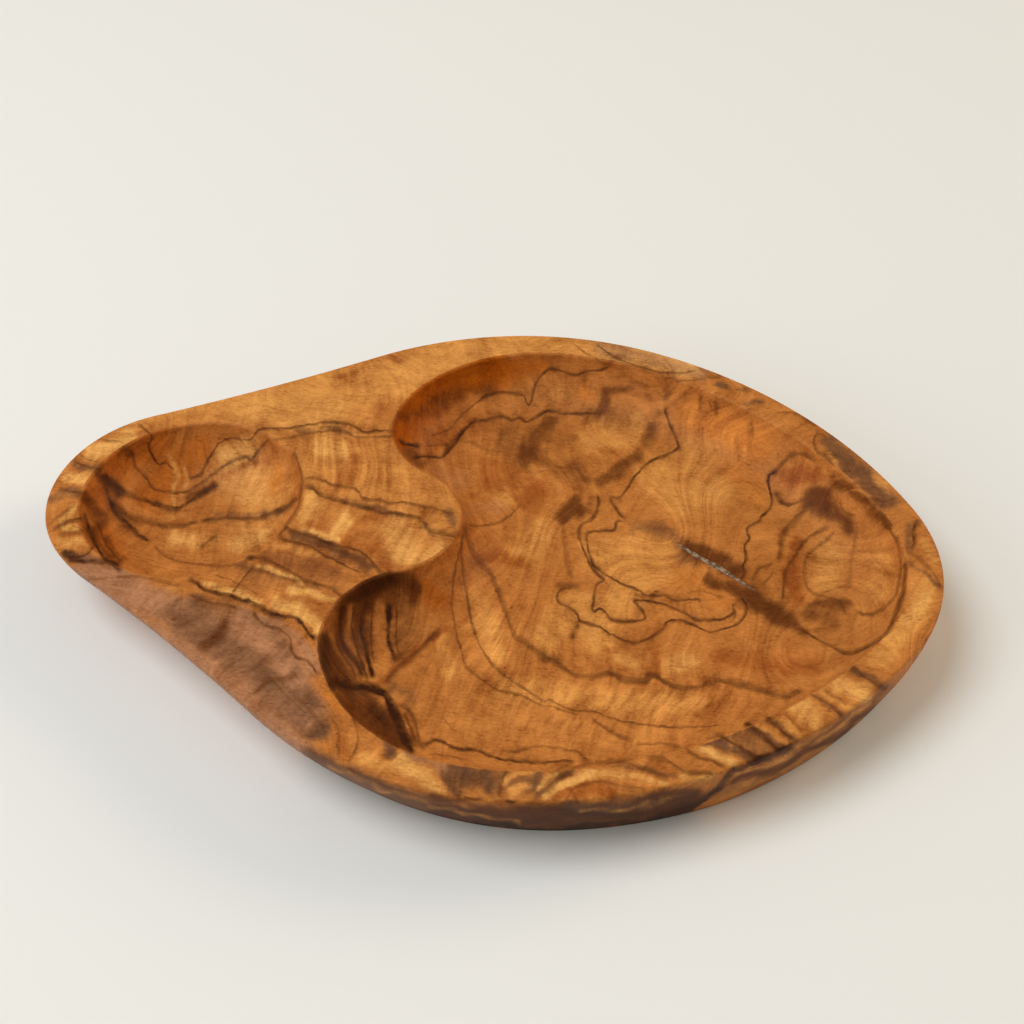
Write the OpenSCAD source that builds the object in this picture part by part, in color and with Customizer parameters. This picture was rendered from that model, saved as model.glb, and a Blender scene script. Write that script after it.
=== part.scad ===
// Olive dish carved from one plank, with a large well for olives and a small round well for pits.
// The nose with the pit well points to -X, the tip of the olive well to +X, and the foot rests on z = 0.

/* [Overall] */

// Length from the nose to the tip
dish_l = 240; // [220:1:270]
// Width across the belly
dish_w = 171; // [156:1:190]
// Height from the foot to the land between the wells
dish_h = 22; // [18:0.5:28]

/* [Outline] */

// Radius of the slightly hollow flanks between the nose and the belly
flank_r = 700; // [400:10:1200]
// Radius of the belly
belly_r = 97.5; // [88:0.5:106]
// Distance from the point of the land to the widest place of the belly
belly_on = 17.4; // [10:0.2:26]
// Radius of the blunt tip
tip_r = 48.7; // [38:0.1:56]

/* [Side wall] */

// How far the foot is drawn in below the nose
under_nose = 13; // [4:0.5:16]
// How far the foot is drawn in below the tip
under_tip = 5.5; // [3:0.5:14]
// Bevel that eases the upper edge all round
edge_ease = 0.8; // [0.4:0.1:1.6]
// Bevel that eases the edge of the foot
foot_ease = 1.2; // [0.6:0.1:2]

/* [Pit well] */

// Diameter of the pit well
pit_d = 60; // [50:0.5:64]
// Width of the rim between the pit well and the nose
nose_rim = 9.6; // [8:0.2:13]
// Wood left below the floor of the pit well
pit_floor_t = 8; // [6:0.5:10]
// Radius of the hollow between the wall and the floor of the pit well
pit_wall_r = 20; // [16:0.5:22]

/* [Olive well] */

// Length of the land from the pit well to its rounded point
land_l = 44.8; // [38:0.2:54]
// Radius of the point of the land
point_r = 20.6; // [15:0.2:26]
// How far the lobes of the well reach back beside the point
lobe_back = 26.9; // [18:0.1:32]
// Radius of the lobes
lobe_r = 23.4; // [20:0.2:27]
// Width of the rim between the olive well and the side wall
rim_w = 9.3; // [7:0.1:12]
// Wood left below the floor of the olive well
floor_t = 8; // [6:0.5:10]
// Radius of the hollow between the wall and the floor of the olive well
wall_r = 17; // [12:0.5:18]
// Bevel that eases the rims of both wells
rim_ease = 0.6; // [0.3:0.1:1.2]

/* [Filled crack] */

// Length of the crack
crack_l = 28; // [16:1:34]
// Width of the crack at its middle
crack_w = 2; // [1:0.1:3]
// Depth of the filler below the floor of the olive well
crack_deep = 2; // [1:0.1:4]
// Distance from the tip of the dish to the middle of the crack
crack_back = 58; // [48:0.5:66]
// Distance from the middle line to the middle of the crack
crack_side = 9.4; // [0:0.2:16]
// Turn of the crack against the length of the dish
crack_turn = -33; // [-60:1:60]

/* [Hidden] */

// Nose, pit well and the point of the land follow one another along the middle line
nose_r = pit_d / 2 + 0.6 * nose_rim;
nose_c = [nose_r - dish_l / 2, 0];
pit_c = [nose_rim + pit_d / 2 - dish_l / 2, 0];
point_x = pit_c.x + pit_d / 2 + land_l;

// Outline: round nose, hollow flank, belly, shoulder and blunt tip
belly_end = 74.4;
belly_c = [point_x + belly_on, dish_w / 2 - belly_r];
tip_c = [dish_l / 2 - tip_r, 0];
flank_c = meet(nose_c, nose_r + flank_r, belly_c, belly_r + flank_r, 1);
shoulder_r = closing_r(belly_c + belly_r * way(belly_end), way(belly_end), tip_c, tip_r);
shoulder_c = belly_c + (belly_r - shoulder_r) * way(belly_end);

// Rim of the olive well: point of the land, lobe, back of the lobe, then a parallel of the outline
back_end = 93.3;
well_belly_r = belly_r - rim_w;
point_c = [point_x - point_r, 0];
lobe_x = point_x - lobe_back + lobe_r;
lobe_c = [lobe_x, sqrt(pow(point_r + lobe_r, 2) - pow(lobe_x - point_c.x, 2))];
back_r = closing_r(belly_c + well_belly_r * way(back_end), way(back_end), lobe_c, lobe_r);
back_c = belly_c + (well_belly_r - back_r) * way(back_end);

// Hollow walls, with an upright strip left below the eased rims
rim_up = 0.5;
well_z = dish_h - floor_t;
well_rise = min(well_z - rim_ease - rim_up, 0.985 * wall_r);
well_turn = acos(1 - well_rise / wall_r);
well_run = wall_r * sin(well_turn);
pit_z = dish_h - pit_floor_t;
pit_rise = min(pit_z - rim_ease - rim_up, 0.985 * pit_wall_r);
pit_run = pit_wall_r * sin(acos(1 - pit_rise / pit_wall_r));

// Crack between two equal arcs
crack_c = [dish_l / 2 - crack_back, crack_side];
crack_arc_r = (pow(crack_l, 2) + pow(crack_w, 2)) / (4 * crack_w);

// Steps up each wall, and how far the cuts reach past the wood
wall_steps = 6;
hollow_steps = 7;
over = 1;

// Unit vector at a heading, in degrees
function way(a) = [cos(a), sin(a)];

// Direction from one point to another, in degrees
function heading(from, to) = atan2(to.y - from.y, to.x - from.x);

// Crossing of two circles, on the chosen side of the line between their centres
function meet(c0, r0, c1, r1, side) =
    let (
        d = norm(c1 - c0),
        u = (c1 - c0) / d,
        a = (r0 * r0 - r1 * r1 + d * d) / (2 * d),
        h = sqrt(max(0, r0 * r0 - a * a))
    )
    c0 + a * u + side * h * [-u.y, u.x];

// Radius of an arc that starts at a point with a given outward direction and closes smoothly on a circle
function closing_r(start, out, c, r) =
    let (q = start - c)
    (q * q - r * r) / (2 * (q * out - r));

// Points of an arc without its end, each followed by the direction that points out of the ring
function bow(c, r, a0, a1, n, out) =
    [for (i = [0 : n - 1])
        let (a = a0 + (a1 - a0) * i / n)
        [c.x + r * cos(a), c.y + r * sin(a), out * cos(a), out * sin(a)]];

// Half of the outline, from the nose to the tip
outline_half = concat(
    bow(nose_c, nose_r, 180, heading(nose_c, flank_c), 14, 1),
    bow(flank_c, flank_r, heading(nose_c, flank_c) - 180, heading(belly_c, flank_c) - 180, 8, -1),
    bow(belly_c, belly_r, heading(belly_c, flank_c), belly_end, 14, 1),
    bow(shoulder_c, shoulder_r, belly_end, heading(shoulder_c, tip_c), 16, 1),
    bow(tip_c, tip_r, heading(shoulder_c, tip_c), 0, 8, 1),
    [[dish_l / 2, 0, 1, 0]]
);

// Half of the olive well's rim, from the point of the land to the tip
rim_half = concat(
    bow(point_c, point_r, 0, heading(point_c, lobe_c), 10, -1),
    bow(lobe_c, lobe_r, heading(lobe_c, point_c) + 360, heading(back_c, lobe_c), 12, 1),
    bow(back_c, back_r, heading(back_c, lobe_c), back_end, 12, 1),
    bow(belly_c, well_belly_r, back_end, belly_end, 8, 1),
    bow(shoulder_c, shoulder_r - rim_w, belly_end, heading(shoulder_c, tip_c), 16, 1),
    bow(tip_c, tip_r - rim_w, heading(shoulder_c, tip_c), 0, 8, 1),
    [[dish_l / 2 - rim_w, 0, 1, 0]]
);

// Whole ring from its half, drawn in by a distance and lifted to a height
function ring(half, draw, z) =
    let (
        m = len(half) - 1,
        far = [for (p = half) [p.x - p[2] * draw(p.x), p.y - p[3] * draw(p.x), z]]
    )
    concat(far, [for (i = [m - 1 : -1 : 1]) [far[i].x, -far[i].y, z]]);

// Closed solid through a stack of rings with the same count, the lowest first
module stacked(rings, hub) {
    n = len(rings[0]);
    m = n / 2;
    top = len(rings) - 1;
    points = concat(
        [for (r = rings) each r],
        [for (k = [0, top], s = [1, -1]) [hub.x, s * hub.y, rings[k][0].z]]
    );
    walls = [for (k = [0 : top - 1], i = [0 : n - 1])
        let (a = k * n + i, b = k * n + (i + 1) % n)
        each [[a, b, b + n], [a, b + n, a + n]]];
    hubs = len(rings) * n;
    base = concat(
        [for (i = [0 : n - 1]) [hubs + (i < m ? 0 : 1), (i + 1) % n, i]],
        [[hubs, 0, m], [hubs + 1, m, 0]]
    );
    lid = concat(
        [for (i = [0 : n - 1]) [hubs + 2 + (i < m ? 0 : 1), top * n + i, top * n + (i + 1) % n]],
        [[hubs + 2, top * n + m, top * n], [hubs + 3, top * n, top * n + m]]
    );
    polyhedron(points = points, faces = concat(walls, base, lid), convexity = 6);
}

// How far the foot is drawn in at a place along the length: it eases from the pit well to the tip
function under_at(x) =
    under_nose + (under_tip - under_nose) * max(0, min(1, (x - pit_c.x) / (tip_c.x - pit_c.x)));

// How far the side wall is drawn in at a share of its height
function tuck(share) = pow(1 - share, 1.5);

// Outer form with the rounded side wall, flat above and below
module blank() {
    stacked(concat(
        [ring(outline_half, function (x) under_at(x) * tuck(foot_ease / dish_h) + foot_ease, 0)],
        [for (k = [0 : wall_steps])
            let (z = foot_ease + (dish_h - edge_ease - foot_ease) * k / wall_steps)
            ring(outline_half, function (x) k == wall_steps ? 0 : under_at(x) * tuck(z / dish_h), z)],
        [ring(outline_half, function (x) edge_ease, dish_h)]
    ), [(nose_c.x + tip_c.x) / 2, dish_w / 5]);
}

// Space of the olive well: flat floor, hollow wall and eased rim
module olive_well() {
    stacked(concat(
        [for (k = [0 : hollow_steps])
            let (a = well_turn * k / hollow_steps)
            ring(rim_half, function (x) well_run - wall_r * sin(a), floor_t + wall_r * (1 - cos(a)))],
        [ring(rim_half, function (x) 0, dish_h - rim_ease)],
        [ring(rim_half, function (x) -rim_ease - over, dish_h + over)]
    ), [(lobe_c.x + tip_c.x) / 2, 0.7 * lobe_c.y]);
}

// Space of the pit well: a turned bowl with an eased rim
module pit_well() {
    translate([pit_c.x, pit_c.y, pit_floor_t])
        rotate_extrude($fn = 160)
            union() {
                intersection() {
                    square([pit_d / 2, pit_rise]);
                    translate([pit_d / 2 - pit_run, pit_wall_r])
                        circle(r = pit_wall_r, $fn = 160);
                }
                square([pit_d / 2 - pit_run, pit_rise]);
                translate([0, pit_rise])
                    polygon([
                        [0, 0],
                        [pit_d / 2, 0],
                        [pit_d / 2, pit_z - rim_ease - pit_rise],
                        [pit_d / 2 + rim_ease + over, pit_z + over - pit_rise],
                        [0, pit_z + over - pit_rise]
                    ]);
            }
}

// Pointed streak of the crack, cut down from the floor
module crack_space(z_top) {
    translate([crack_c.x, crack_c.y, floor_t - crack_deep])
        rotate(crack_turn)
            linear_extrude(height = z_top - floor_t + crack_deep)
                intersection() {
                    translate([0, crack_arc_r - crack_w / 2])
                        circle(r = crack_arc_r, $fn = 360);
                    translate([0, crack_w / 2 - crack_arc_r])
                        circle(r = crack_arc_r, $fn = 360);
                }
}

// The carved dish
module dish_body() {
    color("peru")
        difference() {
            blank();
            olive_well();
            pit_well();
            crack_space(floor_t + over);
        }
}

// Pale filler that lies flush in the crack
module crack_filler() {
    color("tan")
        crack_space(floor_t);
}

dish_body();
crack_filler();
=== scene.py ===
"""Olive dish of figured olive wood: a finely meshed carving, its filled crack, soft studio light."""
import math

import bpy
import numpy as np
from mathutils import Matrix
from mathutils.geometry import delaunay_2d_cdt


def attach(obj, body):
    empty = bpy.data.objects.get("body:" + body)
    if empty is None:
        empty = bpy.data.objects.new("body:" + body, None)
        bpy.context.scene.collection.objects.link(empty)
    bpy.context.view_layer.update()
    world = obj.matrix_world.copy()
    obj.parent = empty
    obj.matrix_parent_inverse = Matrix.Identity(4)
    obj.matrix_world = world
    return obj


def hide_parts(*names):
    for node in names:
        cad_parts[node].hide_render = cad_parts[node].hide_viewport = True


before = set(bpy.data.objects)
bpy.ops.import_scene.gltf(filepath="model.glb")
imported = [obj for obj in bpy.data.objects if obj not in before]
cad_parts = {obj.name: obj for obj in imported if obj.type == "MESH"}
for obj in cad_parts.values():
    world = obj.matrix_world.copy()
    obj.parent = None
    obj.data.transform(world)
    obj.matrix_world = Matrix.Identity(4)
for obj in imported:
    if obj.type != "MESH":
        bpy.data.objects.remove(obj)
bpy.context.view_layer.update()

MM = 0.001

# Camera of the photograph: place in mm, angles in radians, focal length in pixels of its 1024 frame
IMAGE = 1024
CAM_AT = np.array([62.009, -281.882, 306.461])
CAM_AZIMUTH = -0.18843
CAM_ELEVATION = 0.768307
CAM_ROLL = -0.022118
CAM_FOCAL = 1527.09
SENSOR_MM = 36.0

# Sizes of the dish, in mm, as in the part's source
DISH_L, DISH_W, DISH_H = 240.0, 171.0, 22.0
FLANK_R, BELLY_R, BELLY_ON, TIP_R = 700.0, 97.5, 17.4, 48.7
UNDER_NOSE, UNDER_TIP = 13.0, 5.5
EDGE_ROUND, FOOT_ROUND, RIM_ROUND = 0.9, 1.2, 1.0
PIT_D, NOSE_RIM, PIT_FLOOR, PIT_WALL_R = 60.0, 9.6, 8.0, 20.0
LAND_L, POINT_R, LOBE_BACK, LOBE_R, RIM_W = 44.8, 20.6, 26.9, 23.4, 9.3
WELL_FLOOR, WALL_R = 8.0, 17.0
RIM_EASE, RIM_UP = 0.6, 0.5
CRACK_L, CRACK_W, CRACK_DEEP = 28.0, 2.0, 2.0
CRACK_BACK, CRACK_SIDE, CRACK_TURN = 58.0, 9.4, -33.0
BELLY_END, BACK_END = 74.4, 93.3

# Figure of the wood, in pixels of the photograph. Dark veins: (darkness, half-width, course)
NOSE_VEINS = [
    (0.75, 1.4, [(137, 423), (150, 433), (152, 440), (149, 447), (158, 464), (166, 463), (175, 472)]),
    (0.70, 1.4, [(186, 478), (196, 476), (203, 471), (214, 450), (220, 443), (232, 438), (246, 440),
                 (253, 437), (257, 430), (266, 428), (290, 427), (325, 422), (345, 424), (357, 427),
                 (365, 432), (380, 430), (398, 431)]),
    (0.65, 1.6, [(130, 448), (134, 457), (136, 467), (147, 480), (151, 487), (158, 491), (180, 492),
                 (190, 490), (226, 465), (246, 457), (252, 460), (264, 443), (270, 437)]),
    (0.50, 1.6, [(272, 440), (325, 431), (345, 432), (358, 437), (397, 435)]),
    (0.80, 3.6, [(102, 470), (111, 482), (123, 491), (138, 499), (172, 508), (186, 503), (208, 488),
                 (219, 483)]),
    (0.82, 2.4, [(105, 484), (109, 499), (117, 513), (140, 534), (152, 541)]),
    (0.70, 2.8, [(110, 500), (122, 512), (138, 520), (162, 525), (182, 526), (200, 521)]),
    (0.70, 2.8, [(198, 521), (222, 518), (250, 519), (270, 513), (290, 505), (299, 496)]),
    (0.60, 2.4, [(198, 551), (206, 543), (218, 534)]),
    (0.45, 1.6, [(153, 543), (164, 556), (182, 562), (210, 565), (236, 564), (256, 554)]),
    # Dark lines just inside the pit's left rim: painted shade of the wall below it
    (0.85, 2.6, [(84, 510), (90, 532), (96, 546), (105, 558), (122, 573)]),
    (0.60, 1.8, [(97, 520), (104, 540), (113, 553), (125, 564)]),
    # Dark line along the pit's right rim: painted shade at its edge
    (0.55, 1.6, [(294, 450), (300, 470), (302, 486), (294, 514), (276, 540)]),
    (0.45, 1.4, [(100, 440), (120, 441), (124, 446)]),
    (0.35, 1.6, [(78, 452), (86, 458), (96, 461), (106, 462)]),
    (0.60, 1.8, [(73, 461), (94, 468), (104, 468)]),
    (0.55, 2.0, [(58, 485), (64, 489), (73, 492), (90, 492)]),
    (0.40, 1.8, [(50, 525), (57, 517), (78, 503)]),
    (0.70, 2.0, [(51, 533), (64, 523), (85, 517)]),
    (0.40, 2.4, [(55, 536), (80, 531), (89, 529)]),
    (0.75, 1.8, [(62, 556), (81, 557), (97, 545)]),
    (0.85, 3.2, [(66, 559), (84, 562), (112, 563), (121, 567)]),
]
LAND_VEINS = [
    (0.62, 1.7, [(302, 478), (315, 478), (325, 481), (333, 486), (352, 487), (359, 492), (364, 498),
                 (382, 500), (389, 503), (404, 502), (441, 511), (452, 517)]),
    (0.68, 2.4, [(302, 487), (312, 488), (326, 498), (368, 508), (381, 513), (395, 513), (416, 517),
                 (424, 523), (429, 531), (459, 538)]),
    (0.35, 1.2, [(429, 535), (442, 539), (457, 542)]),
    (0.75, 2.2, [(284, 525), (292, 531), (312, 536), (337, 546), (350, 548), (361, 552), (371, 560),
                 (384, 577)]),
    (0.65, 1.6, [(278, 537), (290, 541), (302, 543), (313, 547), (326, 556), (362, 573)]),
    (0.50, 5.0, [(314, 541), (346, 554), (360, 562), (372, 571)]),
    (0.60, 2.0, [(243, 557), (258, 558), (275, 563), (306, 581), (328, 588), (337, 593), (344, 600)]),
    (0.45, 2.4, [(232, 566), (250, 568), (303, 583)]),
    (0.45, 1.0, [(212, 575), (229, 579), (263, 597)]),
    (0.70, 0.9, [(256, 565), (240, 583), (231, 595)]),
    (0.90, 3.0, [(186, 580), (194, 582), (201, 588), (209, 592), (229, 594), (239, 599), (252, 602),
                 (262, 607), (270, 613), (280, 616), (292, 617), (300, 621), (311, 636), (319, 638)]),
    (0.60, 2.0, [(186, 594), (210, 603), (226, 604), (240, 610)]),
    (0.65, 1.6, [(253, 608), (258, 619), (268, 626), (280, 629), (290, 637), (291, 648), (296, 657),
                 (308, 661), (319, 676)]),
    (0.40, 1.5, [(83, 580), (126, 577), (141, 578), (183, 587)]),
    (0.35, 1.4, [(182, 586), (181, 600), (178, 614)]),
]
FAR_VEINS = [
    (0.85, 2.2, [(398, 437), (403, 444), (423, 447)]),
    (0.45, 1.6, [(423, 447), (434, 446), (448, 445)]),
    (0.50, 1.6, [(428, 437), (440, 434), (452, 427), (460, 417), (478, 401)]),
    (0.70, 1.8, [(474, 404), (487, 395), (500, 392), (522, 395), (526, 403), (530, 404), (537, 383),
                 (545, 372), (553, 369), (575, 375), (588, 371), (600, 370), (612, 366)]),
    (0.80, 2.2, [(412, 463), (418, 457), (440, 458), (448, 452), (470, 425), (480, 421)]),
    (0.75, 1.8, [(476, 422), (500, 416), (512, 420), (520, 418), (528, 422), (546, 412), (555, 412),
                 (563, 414), (600, 413)]),
    (0.35, 2.4, [(460, 443), (470, 442), (479, 447), (491, 451), (503, 452)]),
    (0.50, 1.2, [(572, 343), (584, 351), (608, 366)]),
    (0.60, 1.2, [(594, 343), (612, 355), (625, 361), (655, 371), (680, 373), (698, 371)]),
    (0.45, 1.4, [(662, 378), (672, 378), (682, 381), (724, 376)]),
    (0.40, 1.2, [(447, 347), (455, 342)]),
    (0.55, 1.6, [(778, 412), (790, 412), (799, 415), (818, 428)]),
    (0.45, 3.0, [(666, 380), (667, 392), (664, 404)]),
    (0.35, 2.5, [(685, 388), (685, 403)]),
    (0.50, 2.4, [(700, 391), (700, 413)]),
    (0.35, 1.6, [(709, 396), (711, 411)]),
    (0.50, 2.6, [(715, 398), (717, 419)]),
    (0.40, 2.4, [(752, 416), (753, 440)]),
]
LOOP_VEINS = [
    (0.74, 1.6, [(664, 404), (666, 416), (677, 441), (675, 450), (645, 465), (622, 496), (611, 497),
                 (613, 504), (626, 521)]),
    (0.72, 1.5, [(626, 521), (617, 522), (613, 530), (590, 532), (586, 539), (591, 559), (596, 568),
                 (621, 583), (640, 591), (646, 595), (665, 595), (673, 600), (704, 599)]),
    (0.76, 1.8, [(597, 493), (599, 503), (596, 513), (591, 520), (583, 523), (579, 532), (581, 543),
                 (590, 565), (597, 574), (605, 580), (597, 584), (594, 593), (593, 611), (600, 609),
                 (606, 613), (610, 618), (619, 621), (640, 620), (645, 616), (636, 604), (635, 600),
                 (661, 603), (684, 613), (692, 618), (701, 621), (723, 619), (731, 614), (736, 608)]),
    (0.76, 1.8, [(574, 588), (563, 589), (557, 594), (558, 602), (571, 609), (577, 614), (581, 622),
                 (599, 627), (609, 633), (630, 642), (641, 641), (660, 631), (666, 622), (676, 620),
                 (686, 622), (706, 631), (716, 632), (736, 625), (743, 619), (747, 611), (745, 602),
                 (740, 595)]),
    (0.55, 1.4, [(731, 622), (735, 614), (733, 606), (738, 603)]),
    (0.40, 2.6, [(563, 522), (563, 540), (571, 582)]),
    (0.80, 1.6, [(777, 470), (768, 478), (772, 500), (768, 510), (760, 517), (759, 521), (751, 525),
                 (746, 530), (749, 538), (745, 545), (745, 560), (742, 567), (744, 574), (738, 581)]),
    (0.55, 1.4, [(752, 585), (755, 576), (760, 568), (768, 566), (776, 562)]),
    (0.45, 1.4, [(761, 586), (769, 579), (774, 569)]),
    (0.40, 1.4, [(688, 592), (703, 591), (726, 598)]),
]
TIP_VEINS = [
    (0.55, 2.6, [(772, 478), (780, 466), (790, 457), (801, 454), (810, 458), (817, 464)]),
    (0.75, 2.6, [(775, 488), (778, 499), (786, 505), (797, 503), (806, 498)]),
    (0.60, 3.2, [(806, 508), (786, 528), (781, 541), (778, 563)]),
    (0.60, 2.0, [(830, 526), (815, 533), (803, 544), (787, 567), (784, 580), (782, 602)]),
    (0.45, 1.6, [(836, 530), (824, 542), (810, 553), (804, 566), (804, 578), (808, 589), (817, 595),
                 (838, 600)]),
    (0.35, 2.4, [(857, 521), (849, 580), (844, 594)]),
    (0.55, 2.0, [(880, 522), (890, 531), (897, 545), (901, 560), (900, 578), (897, 592), (889, 604),
                 (876, 613), (864, 614), (854, 610)]),
    (0.70, 2.4, [(905, 560), (905, 580), (902, 596), (889, 630), (880, 640), (852, 654), (838, 650),
                 (823, 643), (798, 627)]),
    (0.45, 2.0, [(806, 607), (834, 600), (842, 606), (846, 616)]),
    (0.55, 2.0, [(820, 430), (813, 440), (817, 452), (826, 458), (836, 468)]),
    (0.50, 1.8, [(856, 500), (871, 499), (885, 502), (898, 498)]),
    (0.75, 2.8, [(919, 517), (913, 529), (914, 540), (911, 551)]),
    (0.45, 1.8, [(905, 551), (915, 556), (925, 564), (935, 575), (944, 590)]),
]
SWEEP_VEINS = [
    (0.50, 1.4, [(465, 523), (475, 526), (497, 523), (508, 517), (517, 510), (521, 502)]),
    (0.55, 3.4, [(464, 520), (466, 535), (470, 548), (476, 560), (485, 568), (492, 578), (513, 633),
                 (519, 640), (546, 657), (556, 661), (574, 674), (594, 677)]),
    (0.65, 3.4, [(590, 677), (604, 674), (614, 675), (623, 681), (634, 682), (646, 681), (654, 676),
                 (671, 685), (688, 687), (702, 686), (712, 683), (724, 682), (780, 696), (791, 695),
                 (804, 690)]),
    (0.60, 1.4, [(463, 530), (461, 550), (463, 575), (470, 615), (474, 630), (480, 645), (487, 657),
                 (502, 673), (540, 699), (550, 700), (573, 710), (598, 712), (618, 720), (672, 727),
                 (722, 726)]),
    (0.55, 1.4, [(460, 545), (453, 585), (452, 605), (455, 625), (464, 660), (470, 670), (497, 689),
                 (520, 695), (539, 704), (551, 706), (579, 715)]),
    (0.50, 2.4, [(590, 716), (598, 723), (620, 737), (634, 742)]),
    (0.45, 1.6, [(634, 743), (645, 745), (660, 744), (674, 747), (684, 746)]),
]
NEAR_VEINS = [
    (0.90, 3.4, [(343, 602), (340, 622), (341, 640), (348, 655), (358, 666), (362, 680)]),
    (0.92, 3.0, [(368, 597), (362, 614), (360, 632), (365, 646), (368, 662), (374, 680)]),
    (0.75, 1.3, [(327, 638), (330, 656), (340, 672), (354, 684)]),
    (0.80, 1.3, [(354, 602), (352, 624), (355, 644), (368, 682)]),
    (0.70, 1.2, [(334, 634), (339, 650), (349, 664), (357, 680)]),
    (0.70, 1.2, [(374, 602), (371, 622), (371, 642), (374, 664)]),
    (0.70, 1.4, [(397, 604), (396, 644), (402, 656)]),
    (0.95, 3.4, [(390, 600), (388, 638), (392, 652), (399, 661)]),
    (0.98, 6.2, [(326, 679), (353, 687), (366, 688), (380, 692), (387, 699), (400, 732), (410, 748),
                 (417, 754)]),
    (0.60, 3.0, [(383, 685), (397, 668), (413, 655), (443, 625)]),
    (0.60, 2.0, [(396, 703), (406, 709), (413, 717), (417, 729), (419, 741), (425, 750)]),
    (0.60, 1.6, [(402, 712), (408, 722), (417, 746)]),
    (0.45, 1.3, [(440, 714), (453, 730), (460, 729)]),
    (0.80, 2.0, [(420, 746), (430, 742), (440, 741), (456, 748), (479, 751), (490, 756), (512, 761),
                 (545, 763), (565, 760), (576, 762)]),
    (0.45, 1.6, [(425, 755), (436, 754), (466, 759)]),
    (0.50, 1.6, [(497, 750), (510, 752), (520, 751), (540, 746), (573, 750), (580, 753), (591, 763)]),
]
RIM_VEINS = [
    (0.50, 2.6, [(545, 796), (556, 782), (568, 772), (582, 765), (600, 762), (620, 763), (640, 767),
                 (671, 778)]),
    (0.45, 2.4, [(564, 800), (573, 790), (586, 783), (602, 781), (620, 785), (650, 789)]),
    (0.45, 2.0, [(538, 790), (548, 779), (560, 769), (572, 763)]),
    (0.65, 2.2, [(645, 756), (666, 759), (686, 772), (716, 774)]),
    (0.65, 2.2, [(684, 746), (691, 753), (701, 759), (713, 762), (726, 769)]),
    (0.70, 2.4, [(703, 741), (714, 737), (723, 738), (763, 761)]),
    (0.80, 3.2, [(742, 727), (752, 726), (782, 754)]),
    (0.75, 2.4, [(764, 715), (775, 724), (794, 742)]),
    (0.40, 1.8, [(783, 713), (793, 722), (803, 733)]),
    (0.50, 2.2, [(808, 693), (822, 700), (835, 710), (843, 719)]),
    (0.40, 2.0, [(820, 688), (835, 697), (849, 707)]),
    (0.60, 2.8, [(850, 666), (868, 679), (889, 690)]),
    (0.60, 1.8, [(507, 770), (501, 784), (499, 798)]),
    (0.75, 1.8, [(462, 797), (472, 799), (484, 799)]),
    (0.75, 1.8, [(502, 801), (510, 802), (519, 801)]),
    (0.50, 2.0, [(335, 742), (338, 750), (336, 758)]),
    (0.55, 2.0, [(345, 702), (353, 716), (357, 738), (353, 755), (346, 763)]),
    (0.40, 1.6, [(330, 716), (339, 732), (335, 748)]),
]
SIDE_VEINS = [
    (0.95, 4.6, [(733, 770), (712, 792), (686, 808), (664, 816)]),
    (0.90, 4.2, [(728, 773), (768, 757), (796, 743)]),
    (0.50, 1.6, [(420, 804), (440, 806), (465, 811), (490, 814)]),
    (0.60, 2.0, [(438, 817), (470, 819), (502, 823)]),
    (0.45, 1.6, [(345, 766), (372, 781), (430, 799)]),
    (0.45, 1.6, [(630, 800), (660, 795), (690, 788)]),
    (0.50, 1.8, [(742, 781), (780, 765), (820, 745), (860, 715)]),
    (0.45, 1.6, [(800, 750), (830, 730), (862, 704)]),
]
VEINS = (NOSE_VEINS + LAND_VEINS + FAR_VEINS + LOOP_VEINS + TIP_VEINS + SWEEP_VEINS + NEAR_VEINS + RIM_VEINS
         + SIDE_VEINS)

# Tones of the wood, as they show in plain light; the deep orange one is a shaded copy of the wood, for painted
# shade on well walls
TONES = {
    "straw": (226, 164, 86),
    "honey": (206, 138, 66),
    "orange": (196, 116, 42),
    "amber": (184, 113, 50),
    # Deep orange: painted shade, the wood as it looks on well walls in shade
    "shaded_wall_russet": (172, 86, 8),
    "rust": (155, 81, 28),
    "umber": (98, 50, 15),
    "mauve": (166, 113, 76),
    "dusk": (110, 71, 43),
    "soot": (40, 25, 17),
}
GROUND = "amber"

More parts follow.
